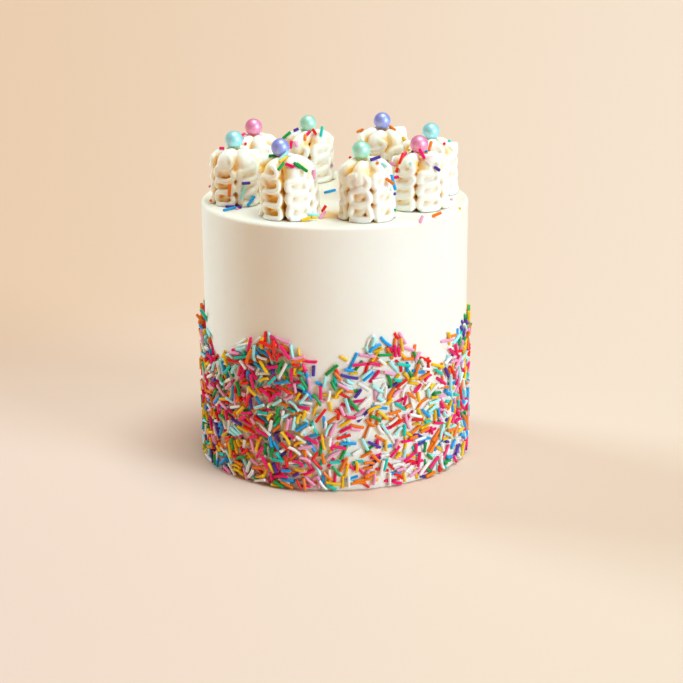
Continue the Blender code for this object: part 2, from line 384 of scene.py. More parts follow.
def makeCakeBody():
    deselectAll()
    bpy.ops.mesh.primitive_cylinder_add(
        vertices=cake["sides"], radius=cake["baseRadius"], depth=cake["height"],
        end_fill_type="NGON", location=(0.0, 0.0, cake["height"] / 2),
    )
    body = bpy.context.object
    body.name = "frostedCake"
    settle(body)
    setMode("EDIT")
    top = cake["height"]
    selectEdges(body, lambda a, b: a.z > top - mm and b.z > top - mm)
    grow = cake["topRadius"] / cake["baseRadius"]
    bpy.ops.transform.resize(value=(grow, grow, 1.0))
    selectEdges(body, lambda a, b: abs(a.z - b.z) > 0.5 * top)
    bpy.ops.mesh.subdivide(number_cuts=cake["wallCuts"])
    selectEdges(body, lambda a, b: a.z > top - 0.1 * mm and b.z > top - 0.1 * mm)
    bpy.ops.mesh.bevel(offset=cake["rimRound"], segments=cake["rimCuts"], profile=0.5, affect="EDGES")
    selectEdges(body, lambda a, b: a.z < 0.1 * mm and b.z < 0.1 * mm)
    bpy.ops.mesh.bevel(offset=cake["baseRound"], segments=cake["baseCuts"], profile=0.5, affect="EDGES")
    for _ in range(cake["topRings"]):
        selectFaces(body, lambda face: face.normal.z > 0.99 and len(face.vertices) > 100)
        bpy.ops.mesh.inset(thickness=cake["ringStep"], depth=0.0)
    selectFaces(body, lambda face: abs(face.normal.z) > 0.99 and len(face.vertices) > 100)
    bpy.ops.mesh.poke()
    setMode("OBJECT")
    return body


def roughenCake(body):
    # a hand-held scraper never leaves the wall quite round, nor the top quite level
    patches = bpy.data.textures.new("scrapedPatches", "CLOUDS")
    patches.noise_scale = 0.045
    patches.noise_depth = 2
    uneven = body.modifiers.new("uneven", "DISPLACE")
    uneven.texture = patches
    uneven.texture_coords = "LOCAL"
    uneven.strength = cake["unevenness"] * 2
    uneven.mid_level = 0.6
    group = body.vertex_groups.new(name="aboveBase")
    raised = [v.index for v in body.data.vertices if v.co.z > 4 * mm]
    group.add(raised, 1.0, "REPLACE")
    uneven.vertex_group = group.name
    applyAll(body)
    body.vertex_groups.clear()
    bpy.ops.object.shade_smooth_by_angle(angle=math.radians(40))


cakeBody = makeCakeBody()
roughenCake(cakeBody)
cakeBody.data.materials.clear()
cakeBody.data.materials.append(wallCream)
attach(cakeBody, "root")
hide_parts("cake")
print("cake body ready")


# piped swirls: six fins, each folded to and fro on its way up, under smooth lobes that meet on top

# brightSide is the brightest light's bearing, and footWidth widens a fin's foot by how many folds it has
piping = {
    "fins": 6,
    "foldedShare": 0.77,
    "swing": 0.385,
    "start": 0.9 * mm,
    "layers": 4,
    "layerStep": 1.1 * mm,
    "cuts": 3,
    "coreDepth": 8.2 * mm,
    "ribRope": 4.2 * mm,
    "heartRope": 6.2 * mm,
    "heartTip": 4.0 * mm,
    "voxel": 0.42 * mm,
    "softening": 8,
    "brightSide": 55.0,
    "footWidth": {3.0: 1.34, 3.5: 1.12},
    "seed": 11,
}
# one fold of a fin: across (in swings), up (in loops), how far it lies back, and its thickness.
# A level stroke in front, a wide turn, and a broad stroke that slants back down behind it
foldShape = [
    (-0.78, 0.02, 0.1, 1.45),
    (0.0, -0.03, 0.0, 1.52),
    (0.78, 0.03, 0.1, 1.45),
    (1.00, 0.30, 0.2, 1.38),
    (0.95, 0.62, 0.6, 1.36),
    (0.60, 0.78, 1.9, 1.55),
    (0.0, 0.52, 2.9, 1.80),
    (-0.60, 0.26, 2.4, 1.60),
    (-0.95, 0.40, 0.6, 1.38),
    (-1.00, 0.70, 0.2, 1.40),
]
# the smooth lobe over each fin: reach (in foot radii), height (in peaks) and thickness
lobeShape = [
    (0.50, 0.57, 4.6), (0.60, 0.71, 5.2), (0.57, 0.79, 5.2), (0.42, 0.855, 4.4), (0.21, 0.91, 3.1),
]
# the pearl that each swirl carries: how deep its hollow is, and the room left round it
pearls = {"radius": 5.0 * mm, "hollow": 1.7 * mm, "room": 0.12 * mm}


def swirlAxis(spec, height):
    middle = around(spec["angle"], spec["away"], cake["height"] + gap + height)
    return middle + Vector((spec["leanX"], spec["leanY"], 0.0)) * (height / spec["peak"]) ** 3


def wallReach(spec, height):
    share = min(1.0, height / (piping["foldedShare"] * spec["peak"]))
    return spec["foot"] * (1.0 - 0.05 * share)


def onSwirl(spec, face, sideways, reach, height):
    # sideways runs round the swirl at its wall, in metres of arc
    bearing = face + math.degrees(sideways / wallReach(spec, height))
    return swirlAxis(spec, height) + around(bearing, reach, 0.0)


def foldedFin(spec, face, draw):
    # one fin's fold from the foot up, as across, height, reach and thickness; full is 0 where the loops
    # lie open, on the shaded side, and 1 where they close up
    full = 2 * math.cos(math.radians(face - piping["brightSide"]))
    full = min(1.0, max(0.85 if spec["angle"] < 180 else 0.0, full))
    rise = (piping["foldedShare"] * spec["peak"] - piping["start"]) / spec["loops"]
    rise *= draw.uniform(0.93, 1.07)
    count = int(spec["loops"] * len(foldShape)) + 2
    path = []
    for i in range(count):
        loop, step = divmod(i, len(foldShape))
        across, up, back, thick = foldShape[step]
        widen = piping["footWidth"][spec["loops"]] if i < 3 else draw.uniform(0.90, 1.05)
        slant = 0.17 * full * across
        jitter = draw.uniform(-0.08, 0.08) if i > 2 else 0.0
        height = piping["start"] + (loop + up + slant + jitter) * rise
        height = max(height, 0.6 * mm)
        thick *= mm * draw.uniform(0.88, 1.12) * (1 + 0.40 * full)
        back *= mm * draw.uniform(0.8, 1.15) * (1 - 0.55 * full)
        reach = wallReach(spec, height) - thick - back
        if i < 3:
            reach += 0.4 * mm
        path.append((across * widen * piping["swing"] * spec["foot"], height, reach, thick))
    return path


def addSpline(curve, points, sizes):
    spline = curve.splines.new("POLY")
    spline.points.add(len(points) - 1)
    for target, place, size in zip(spline.points, points, sizes):
        target.co = (*place, 1.0)
        target.radius = size


def ropeCurve(name, sides):
    deselectAll()
    bpy.ops.curve.primitive_nurbs_path_add()
    rope = bpy.context.object
    rope.name = name
    rope.data.splines.clear()
    rope.data.bevel_depth = 1.0
    rope.data.bevel_resolution = sides
    rope.data.use_fill_caps = True
    rope.location = (0.0, 0.0, 0.0)
    return rope


def toMesh(piece):
    selectOnly(piece)
    bpy.ops.object.convert(target="MESH")
    return bpy.context.object


def finFaces(spec):
    return [spec["angle"] + spec["turn"] + fin * 360.0 / piping["fins"] for fin in range(piping["fins"])]


def pipeFins(spec, draw):
    rope = ropeCurve("fins", 2)
    for face in finFaces(spec):
        path = foldedFin(spec, face, draw)
        for layer in range(piping["layers"]):
            sink = layer * piping["layerStep"]
            points = [
                onSwirl(spec, face, across, reach - sink, height)
                for across, height, reach, _ in path
            ]
            addSpline(rope.data, *smoothLine(points, [p[3] for p in path], piping["cuts"]))
    return toMesh(rope)


def pipeLobes(spec, draw):
    # the last of each fin, left smooth as the bag is drawn up and away
    rope = ropeCurve("lobes", 4)
    for face in finFaces(spec):
        bow = draw.uniform(-1.8, 1.8)
        sag = draw.uniform(-0.3, 0.9) * mm
        bows = [-bow, 0.6 * bow, bow + 0.8, 0.5 * bow + 2.2, 4.5 - 0.4 * bow]
        points = [
            onSwirl(spec, face, across * mm, reach * spec["foot"], height * spec["peak"] - sag)
            for (reach, height, _), across in zip(lobeShape, bows)
        ]
        sizes = [thick * mm * draw.uniform(0.90, 1.06) for _, _, thick in lobeShape]
        addSpline(rope.data, *smoothLine(points, sizes, 5))
    return toMesh(rope)


def smoothLine(points, sizes, cuts):
    # a Catmull-Rom line through the points
    ends = [points[0] * 2 - points[1], *points, points[-1] * 2 - points[-2]]
    line, radii = [], []
    for i in range(len(points) - 1):
        a, b, c, d = ends[i:i + 4]
        for k in range(cuts):
            t = k / cuts
            line.append(
                0.5 * (2 * b + (c - a) * t + (2 * a - 5 * b + 4 * c - d) * t * t
                       + (3 * b - a - 3 * c + d) * t ** 3)
            )
            radii.append(sizes[i] + (sizes[i + 1] - sizes[i]) * t)
    line.append(points[-1])
    radii.append(sizes[-1])
    return line, radii


def pipeCore(spec):
    # the solid heart behind the folds, with the crevices between its six ribs
    rope = ropeCurve("core", 4)
    foot, peak = spec["foot"], spec["peak"]
    heights = [2.4 * mm, 0.25 * peak, 0.5 * peak, 0.7 * peak]
    for face in finFaces(spec):
        points = [onSwirl(spec, face, 0.0, foot - piping["coreDepth"], h) for h in heights]
        addSpline(rope.data, points, [piping["ribRope"]] * len(points))
    points = [swirlAxis(spec, h) for h in [2.4 * mm, 0.5 * peak, 0.86 * peak]]
    addSpline(rope.data, points, [piping["heartRope"], piping["heartRope"], piping["heartTip"]])
    return toMesh(rope)


def coordinates(piece):
    found = np.empty(len(piece.data.vertices) * 3, np.float32)
    piece.data.vertices.foreach_get("co", found)
    return found.reshape(-1, 3).astype(float)


def putCoordinates(piece, places):
    piece.data.vertices.foreach_set("co", places.astype(np.float32).ravel())
    piece.data.update()


def pearlCentre(spec):
    # half a pearl over the floor of the hollow in the peak
    height = spec["peak"] - pearls["hollow"] + gap + pearls["radius"]
    return swirlAxis(spec, spec["peak"]) + Vector((0.0, 0.0, height - spec["peak"]))


def seatOnCake(spec, piece):
    # flat where it sits on the cake, and hollowed where the pearl has sunk in
    places = coordinates(piece)
    floor = cake["height"] + gap
    places[:, 2] = np.maximum(places[:, 2], floor)
    middle = np.array(pearlCentre(spec))
    away = places - middle
    far = np.linalg.norm(away, axis=1)
    clear = pearls["radius"] + pearls["room"]
    inside = far < clear
    places[inside] = middle + away[inside] * (clear / far[inside])[:, None]
    putCoordinates(piece, places)


def paintCreviceShade(spec, piece):
    # painted shade: how deep each point lies under the swirl's outer shape, kept for the material to
    # paint the deeper points golden
    places = coordinates(piece)
    foot, peak = spec["foot"], spec["peak"]
    height = places[:, 2] - cake["height"] - gap
    share = np.clip(height / peak, 0, 1)
    base = np.array(around(spec["angle"], spec["away"], 0.0))
    axisX = base[0] + spec["leanX"] * share ** 3
    axisY = base[1] + spec["leanY"] * share ** 3
    reach = np.hypot(places[:, 0] - axisX, places[:, 1] - axisY)
    outer = np.interp(share, [0.0, 0.77, 0.89, 1.0], np.array([1.0, 0.95, 0.83, 0.28]) * foot)
    lid = np.interp(reach / foot, [0.0, 0.28, 0.83, 0.95], np.array([1.0, 1.0, 0.89, 0.77]) * peak)
    depth = np.minimum(outer - reach, np.maximum(lid - height, 0.0))
    shallow = np.where(share > 0.72, 0.5, 0.9) * mm
    creviceShade = np.clip((depth - shallow) / (2.6 * mm), 0, 1)
    # painted light: the folds that face the brightest lamp are painted paler inside, as if light came
    # through them
    bright = np.array(around(piping["brightSide"], 1.0, 0.0))
    towards = (places[:, 0] - axisX) * bright[0] + (places[:, 1] - axisY) * bright[1]
    facing = towards / np.maximum(reach, mm)
    creviceShade *= 1 - 0.45 * np.clip(facing, 0, 1)
    attribute = piece.data.attributes.new("creviceShade", "FLOAT", "POINT")
    attribute.data.foreach_set("value", creviceShade.astype(np.float32))


def makeSwirl(number, spec):
    draw = random.Random(piping["seed"] * 100 + number)
    parts = [pipeFins(spec, draw), pipeLobes(spec, draw), pipeCore(spec)]
    deselectAll()
    for part in parts:
        part.select_set(True)
    bpy.context.view_layer.objects.active = parts[0]
    bpy.ops.object.join()
    swirl = bpy.context.object
    swirl.name = f"pipedSwirl{number}"
    skin = swirl.modifiers.new("skin", "REMESH")
    skin.mode = "VOXEL"
    skin.voxel_size = piping["voxel"]
    soften = swirl.modifiers.new("soften", "SMOOTH")
    soften.factor = 0.5
    soften.iterations = piping["softening"]
    applyAll(swirl)
    seatOnCake(spec, swirl)
    paintCreviceShade(spec, swirl)
    bpy.ops.object.shade_smooth()
    swirl.data.materials.clear()
    swirl.data.materials.append(pipedCream)
    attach(swirl, "root")
    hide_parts(f"swirl_{number}")
    return swirl


swirlPieces = [makeSwirl(i + 1, spec) for i, spec in enumerate(swirls)]
print("swirls ready", [len(p.data.polygons) for p in swirlPieces])


# sugar pearls

def makePearlPiece(number, spec):
    deselectAll()
    middle = pearlCentre(spec)
    bpy.ops.mesh.primitive_uv_sphere_add(
        segments=48, ring_count=32, radius=pearls["radius"], location=middle
    )
    pearl = bpy.context.object
    pearl.name = f"sugarPearl{number}"
    pearl.rotation_euler = (0.3 * number, 0.5 * number, 0.9 * number)
    settle(pearl)
    places = coordinates(pearl)
    away = (places - np.array(middle)) / pearls["radius"]
    x, y, z = away.T
    # pan-coated shells are never perfect spheres
    wobble = 1 - 0.006 * (1 + np.sin(x * 3 + number) * np.cos(y * 2.4) * np.sin(z * 2.7))
    putCoordinates(pearl, np.array(middle) + away * wobble[:, None] * pearls["radius"])
    bpy.ops.object.shade_smooth()
    name = pearlNames[(number - 1) % len(pearlNames)]
    pearl.data.materials.append(pearlMaterials[name])
    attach(pearl, "root")
    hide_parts(f"pearl_{number}")


for i, spec in enumerate(swirls):
    makePearlPiece(i + 1, spec)
print("pearls ready")


# rod sprinkles

# from longest on, the values are those of the rods fused to the solid
rods = {
    "radius": 0.90 * mm,
    "sides": 7,
    "tipStart": 0.6,
    "tipStretch": 1.6,
    "tipLength": 0.64,
    "longest": 9.5 * mm,
    "shortest": 7.5 * mm,
    "proud": 0.3 * mm,
    "fused": 216,
    "seed": 4,
}
# loose ones: their lengths are in mm, and each settles in the lowest of a few spots
looseRods = {
    "count": 2900,
    "seed": 21,
    "deepest": 3.6 * mm,
    "length": 7.2,
    "spread": 1.4,
    "shortest": 4.0,
    "longest": 9.5,
    "underEdge": 4 * mm,
    "edgeZone": 7 * mm,
    "edgeShare": 0.6,
    "bareShare": 0.45,
    "spots": 3,
    "right": 100,
}
# how thick they lie from one bearing to another, where 1 is a heap, and how thick on the rest
heaps = [(-85, -12, 1.0), (-12, 10, 0.44), (10, 90, 0.32)]
heapBehind = 0.6
# the bearings between which the upper edge is made by edgeRods, and how these are laid
frontSide = (-84, 76)
edgeLie = {"longest": 10.0 * mm, "shortest": 4.5 * mm, "deepest": 4.6 * mm}
# rods on top: scale is the photograph's pixels to a millimetre there
topLie = {
    "scale": 1.8,
    "sameSurface": 4 * mm,
    "endOn": 2.4 * mm,
    "endOnLength": 4.5 * mm,
    "longest": 9.5 * mm,
    "tallest": 1.2 * mm,
    "sunk": 0.55,
}
bandEdge = [
    (-81.0, 80), (-61.0, 68), (-31.0, 87), (-17.0, 83), (-5.0, 61), (3.0, 73), (14.0, 86), (27.0, 86),
    (47.0, 65), (68.0, 82), (88.0, 83), (118.0, 70), (146.0, 88), (172.0, 71), (200.0, 87), (226.0, 73),
    (253.0, 86), (279.0, 80),
]
bare = {"angle": 2.0, "halfWidth": 10.0, "share": 0.4}
strayRods = [
    (277.0, 79.5, 9.5, 38.0), (284.0, 85.0, 9.0, 30.0), (255.0, 78.0, 9.0, 26.0),
    (85.0, 72.0, 9.0, 24.0), (94.0, 56.0, 9.0, 26.0), (274.0, 42.0, 9.0, 24.0),
    (355.0, 40.0, 9.0, 24.0), (181.0, 50.0, 9.0, 26.0),
]
strayColours = ["orange", "teal", "yellow", "green", "hotPink", "aqua", "blue", "red"]
# two rods that stick out at the left edge: colour, foot height, and the tip's radius and height
edgeStrays = [("teal", 83.0, 79.4, 77.5), ("hotPink", 72.0, 79.6, 73.2)]
strayBearing = -86.0
strayFoot = 74.2 * mm
# rods on the swirls and the cake top, by the photograph's points for their two ends
topRods = {
    "hotPink": [
        (219.5, 145, 224.5, 145), (290.5, 149, 291.5, 141), (403.6, 157.4, 406.3, 153),
        (419.3, 149.3, 424.7, 159), (285.8, 164.4, 294.4, 167.6), (306.4, 135.6, 310.4, 131.4),
        (241, 136.5, 245, 134), (393.5, 178.2, 399, 177.2), (444, 144.2, 444.6, 143.4),
    ],
    "red": [
        (245.3, 144.3, 245.9, 143.3), (312.6, 129.4, 316.2, 134.8), (350.3, 155.8, 350.6, 152.2),
        (403.3, 153.3, 399.5, 164.4), (399.2, 168.2, 397.6, 173), (325.9, 205.9, 322, 212),
    ],
    "orange": [
        (305, 135, 304.6, 141), (336.2, 149.6, 337.2, 147.8), (352.9, 132.8, 360.5, 129.5),
        (389.5, 126.8, 395.4, 131.1), (376, 162.3, 378.8, 164.2), (386, 179, 394, 184.4),
        (431.5, 141.7, 429, 150.9), (432, 216.8, 441.4, 212.8), (210.5, 201, 211.5, 200.4),
        (230.6, 183.5, 229.8, 196.5),
    ],
    "yellow": [
        (401.9, 137.3, 405.2, 140.6), (407.4, 149.6, 409, 150.5), (279.3, 163.8, 287.4, 158.4),
        (301.5, 220.8, 311.2, 218), (311.8, 218.8, 318, 218.6), (459, 209, 460.2, 208.6),
    ],
    "green": [
        (283.2, 139, 291, 132.3), (268.4, 156.3, 279.3, 156.1), (284.1, 162.8, 278.2, 170.4),
        (293.4, 163.3, 300.4, 168.6), (296.4, 163.6, 307.5, 172), (394.6, 210.2, 396.7, 207),
        (411.8, 152.2, 413.2, 151.2),
    ],
    "teal": [
        (322.4, 126.7, 321, 136.7), (448.6, 137.6, 449.8, 141.2),
    ],
    "aqua": [
        (287.9, 151.9, 279.8, 160), (381.6, 163.8, 387, 167.1), (410, 162, 411.2, 165),
        (245, 185.7, 240.4, 199.3), (308.5, 214.5, 318.8, 215.9),
    ],
    "blue": [
        (391.4, 175.2, 395.4, 190.4), (425.3, 151.5, 427, 151.2), (253.4, 196, 246.6, 205.8),
        (223.3, 211.5, 236, 208.5), (324.6, 193.6, 335.4, 190.9),
    ],
    "indigo": [
        (242.2, 139, 243, 137), (293.6, 129.2, 298.6, 126.9), (370.2, 160.3, 380.5, 157.1),
        (434.4, 167.2, 440.1, 171), (394.2, 194.6, 394.6, 193), (241.6, 183.2, 249.8, 182.8),
        (225, 207.4, 242.4, 208.6),
    ],
    "lightPink": [
        (294.7, 141.6, 297.7, 147), (312.6, 170.4, 313.1, 179.6), (331.6, 163.6, 332.4, 167.4),
        (325.3, 211.5, 319.9, 218.6), (389.7, 162.8, 395.7, 166), (279.8, 134.8, 283.6, 134.3),
        (451, 201.3, 451.8, 198.8), (420, 223, 422.6, 216), (236, 210, 238.2, 209),
        (209.4, 185.6, 210.6, 184.4),
    ],
}
# rods along the band's upper edge, the same way
edgeRods = {
    "teal": [
        (191.7, 326.8, 204.1, 314.3), (205.1, 342.1, 204.1, 349.7), (251, 348.8, 258.7, 357.4),
        (284, 368, 296, 364),
    ],
    "hotPink": [
        (186.9, 332.1, 199.3, 334.4), (270.1, 335.4, 278.7, 348.8), (301.7, 360.3, 317, 362.2),
        (245.3, 350.7, 241.4, 368.9), (387.8, 345, 393.5, 352.6), (276, 356.5, 289, 353.6),
        (297.9, 376.5, 307.4, 368.9),
    ],
    "red": [
        (263.4, 347.8, 265.4, 331.6), (221.3, 348.8, 209.9, 368.9), (199.3, 328.7, 204.1, 330.6),
        (336, 369.9, 337, 371.7), (428.9, 357.4, 429.5, 374.6), (420.3, 357.4, 429.9, 361.2),
        (395.4, 333.5, 399.3, 338.3), (280, 352, 278, 360),
    ],
    "orange": [
        (202.2, 321, 204.1, 324.9), (208.9, 336.3, 209.9, 342.1), (280.7, 345, 290.2, 351.7),
        (395.5, 338.3, 394.5, 347.8), (447.1, 336.4, 458.6, 334.4), (228, 355, 233, 360),
    ],
    "yellow": [
        (297.9, 348.8, 300.7, 363.1), (294, 376.5, 304.6, 365), (340, 356.4, 347.6, 361.2),
        (350.5, 373.7, 357.2, 373.7), (371.5, 345.9, 382.1, 346.9), (397.4, 349.7, 406, 358.4),
        (431.8, 364.1, 443.3, 367), (224.2, 350.7, 223.3, 357.4), (242.4, 345, 249.1, 341.1),
        (448, 332, 450, 345),
    ],
    "green": [
        (325.6, 375.6, 338, 364.6), (336, 365.6, 347.6, 362.1), (355.3, 370.8, 362.9, 361.2),
        (412.7, 350.7, 420.3, 365), (465.3, 314.3, 465.9, 320.1), (221.3, 359.3, 217.5, 376.5),
        (278, 363, 288, 376),
    ],
    "blue": [
        (307.4, 371.7, 305.5, 389), (315.1, 382.3, 324.7, 387), (348.6, 370.8, 358.1, 351.7),
        (381.1, 337.3, 390.7, 345.9), (412.7, 370.8, 425.1, 372.3), (443.3, 384.2, 460.5, 382.3),
        (408, 362, 407, 372),
    ],
    "indigo": [
        (313.6, 366, 313.2, 376.5), (338, 373.7, 361, 379.4), (462.4, 321, 464.7, 324.9),
        (463.4, 328.7, 464.3, 336.4), (197.4, 335.4, 202.2, 338.3),
    ],
    "aqua": [
        (267.3, 347.8, 268.2, 332.5), (289.3, 342.1, 296.9, 365), (323.7, 387, 325.6, 376.5),
        (206, 328.7, 210.8, 336.4), (373.4, 336.4, 371.5, 345.9), (361, 378, 371, 370),
        (270, 350, 273, 365),
    ],
    "lightPink": [
        (274.9, 337.3, 290.2, 343), (309.4, 376.5, 308.4, 391.8), (398.3, 345.9, 412.7, 349.7),
        (441.4, 342.1, 450.9, 339.2), (230, 352, 241, 362),
    ],
    "cream": [
        (232, 346.5, 248.1, 337.3), (237.6, 345.9, 252, 343), (252, 345.9, 260.6, 337.3),
        (338, 378.4, 351.4, 387), (280, 377, 288, 362), (447, 352, 460, 344),
    ],
}


def makeRodTemplate(cuts):
    # one rod along X: its ends and its middle are placed for each copy
    deselectAll()
    bpy.ops.mesh.primitive_cylinder_add(
        vertices=rods["sides"], radius=1.0, depth=2.0, end_fill_type="NGON"
    )
    rod = bpy.context.object
    rod.rotation_euler = (0.0, math.radians(90), 0.0)
    settle(rod)
    setMode("EDIT")
    if cuts:
        selectEdges(rod, lambda a, b: abs(a.x - b.x) > 1.0)
        bpy.ops.mesh.subdivide(number_cuts=cuts)
    selectEdges(rod, lambda a, b: abs(abs(a.x) - 1) < 0.01 and abs(a.x - b.x) < 0.01)
    bpy.ops.mesh.bevel(offset=0.32, segments=2, profile=0.6, affect="EDGES")
    setMode("OBJECT")
    places = coordinates(rod)
    faces = [list(face.vertices) for face in rod.data.polygons]
    bpy.data.objects.remove(rod)
    return places, faces


straightRod = makeRodTemplate(0)
bentRod = makeRodTemplate(3)
rodList = {name: [] for name in colourNames}


def layRod(colour, centre, along, out, length, bend=0.0, radius=None):
    along = along.normalized()
    side = along.cross(out).normalized()
    out = side.cross(along)
    radius = radius or rods["radius"]
    half = length / 2
    places, faces = bentRod if bend else straightRod
    x = places[:, 0]
    tip = np.abs(x) > rods["tipStart"]  # the eased ends keep their size whatever the rod's length
    tipReach = np.sign(x) * (half - (1 - np.abs(x)) * radius * rods["tipStretch"])
    shaftReach = x * (half - radius * rods["tipLength"]) / rods["tipStart"]
    reach = np.where(tip, tipReach, shaftReach)
    bow = bend * (1 - (reach / half) ** 2)
    points = (
        np.array(centre)
        + reach[:, None] * np.array(along)
        + (places[:, 1] * radius + bow)[:, None] * np.array(side)
        + (places[:, 2] * radius)[:, None] * np.array(out)
    )
    points[:, 2] += max(0.0, 0.02 * mm - points[:, 2].min())
    rodList[colour].append((points, faces))


def edgeHeight(angle):
    first = bandEdge[0][0]
    angle = (angle - first) % 360.0 + first
    for (start, low), (end, high) in zip(bandEdge, bandEdge[1:]):
        if angle <= end:
            share = (1 - math.cos(math.pi * (angle - start) / (end - start))) / 2
            return (low + (high - low) * share) * mm
    return bandEdge[-1][1] * mm


def wallAt(height):
    return cake["baseRadius"] + (cake["topRadius"] - cake["baseRadius"]) * height / cake["height"]


def fromFront(angle):
    # between -180 and 180 degrees
    return (angle + 180.0) % 360.0 - 180.0


def fromBare(angle):
    return abs(fromFront(angle - bare["angle"]))


def layFusedWallRods(draw):
    # the same rods, in the same order, as the solid has fused to its wall
    places = []
    tries = 0
    while len(places) < rods["fused"]:
        tries += 1
        angle = 360.0 * (tries * 0.6180340 % 1.0)
        height = (tries * 0.7548777 % 1.0) * edgeHeight(angle)
        slant = draw.uniform(-90.0, 90.0)
        length = draw.uniform(rods["shortest"], rods["longest"])
        keep = draw.random()
        if fromBare(angle) < bare["halfWidth"] and keep > bare["share"]:
            continue
        halfRise = abs(math.sin(math.radians(slant))) * length / 2
        height = max(height, halfRise + rods["radius"] + cake["baseRound"])
        places.append((angle, height, slant, length))
    for i, (angle, height, slant, length) in enumerate(places):
        out = around(angle, 1.0, 0.0)
        across = Vector((-out.y, out.x, 0.0))
        lean = math.radians(draw.uniform(-5.0, 9.0))
        tilt = math.radians(slant)
        flat = across * math.cos(tilt) + Vector((0.0, 0.0, math.sin(tilt)))
        along = (flat * math.cos(lean) + out * math.sin(lean)).normalized()
        bend = draw.choice((0.0, 0.0, 0.0, 0.0, 0.9, -1.2)) * mm
        centre = around(angle, wallAt(height) + rods["proud"], height)
        layRod(colourNames[i % len(colourNames)], centre, along, out, length, bend)
        pile.press(angle, height, slant, length, rods["proud"], rods["proud"])


def layStrayRods():
    for colour, height, tipRadius, tipHeight in edgeStrays:
        start = around(strayBearing, strayFoot, height * mm)
        tip = around(strayBearing, tipRadius * mm, tipHeight * mm)
        layRod(colour, (start + tip) / 2, tip - start, around(4.0, 1.0, 0.0), (tip - start).length)
    for i, (angle, height, length, lean) in enumerate(strayRods):
        out = around(angle, 1.0, 0.0)
        tip = math.radians(lean)
        along = Vector((0.0, 0.0, math.cos(tip))) + out * math.sin(tip)
        reach = length * mm / 2 * math.sin(tip)
        centre = around(angle, wallAt(height * mm) + reach - rods["radius"], height * mm)
        layRod(strayColours[i], centre, along, out, length * mm)


class WallPile:
    # how far the rods already laid stand off the wall, on a grid round the cake and up it

    cell = 0.75 * mm
    reachUp = 100 * mm
    sinkIn = 0.45 * mm  # the icing gives way this much
    nest = 0.75  # of a radius: how high a rod's middle comes to rest over what lies under it
    fill = 0.8  # of a radius: how high the heap is over a rod's middle
    slope = 0.35  # of a radius: how much lower it is beside the rod
    feelers = 9
    prints = 17

    def __init__(self):
        self.round = int(2 * math.pi * cake["baseRadius"] / self.cell)
        self.up = int(self.reachUp / self.cell)
        self.height = np.full((self.round, self.up), -self.sinkIn)

    def cells(self, angle, height, slant, length, count):
        tilt = math.radians(slant)
        steps = np.linspace(-0.5, 0.5, count) * length
        turn = np.radians(angle) + steps * math.cos(tilt) / cake["baseRadius"]
        i = (turn / (2 * math.pi) * self.round).astype(int) % self.round
        k = np.clip(((height + steps * math.sin(tilt)) / self.cell).astype(int), 0, self.up - 1)
        return i, k

    def rest(self, angle, height, slant, length):
        # the offsets of the two ends where a rod would come to rest
        i, k = self.cells(angle, height, slant, length, self.feelers)
        under = self.height[i, k] + self.nest * rods["radius"]
        middle = self.feelers // 2
        first = under[:middle].max()
        last = under[middle + 1:].max()
        lift = under[middle] - (first + last) / 2
        if lift > 0:
            first += lift
            last += lift
        return first, last

    def press(self, angle, height, slant, length, first, last):
        i, k = self.cells(angle, height, slant, length, self.prints)
        rise = np.linspace(first, last, self.prints) + self.fill * rods["radius"]
        for di in (-1, 0, 1):
            for dk in (-1, 0, 1):
                a, b = (i + di) % self.round, np.clip(k + dk, 0, self.up - 1)
                top = rise - (self.slope * rods["radius"] if di or dk else 0.0)
                np.maximum.at(self.height, (a, b), top)


# each colour's share of the loose rods, and its share on the right, where they are paler as painted
# light, the light being brighter there
colourShares = {
    "hotPink": (13, 12), "red": (9, 8), "orange": (12, 13), "yellow": (15, 19), "green": (8, 6),
    "teal": (5, 5), "aqua": (12, 11), "blue": (8, 7), "indigo": (4, 4), "lightPink": (11, 12),
    "cream": (15, 14),
}


def insideBox(point):
    low, high = cadBox
    reach = rods["radius"] * 1.1
    beside = all(low[i] + reach < point[i] < high[i] - reach for i in (0, 1))
    return beside and point.z > low[2] + reach


def layOnWall(colour, angle, height, slant, length, bend, radius, deepest):
    first, last = pile.rest(angle, height, slant, length)
    if max(first, last) > deepest:
        return False
    tilt = math.radians(slant)
    turnHalf = math.degrees(math.cos(tilt) * length / 2 / cake["baseRadius"])
    rise = math.sin(tilt) * length / 2
    a = around(angle - turnHalf, wallAt(height) + first, height - rise)
    b = around(angle + turnHalf, wallAt(height) + last, height + rise)
    if not (insideBox(a) and insideBox(b)):
        return False
    layRod(colour, (a + b) / 2, b - a, around(angle, 1.0, 0.0), length, bend, radius)
    pile.press(angle, height, slant, length, first, last)
    return True


def thickness(angle):
    turn = fromFront(angle)
    for start, end, share in heaps:
        if start < turn <= end:
            return share
    return heapBehind


def onFront(angle):
    return frontSide[0] < fromFront(angle) < frontSide[1]


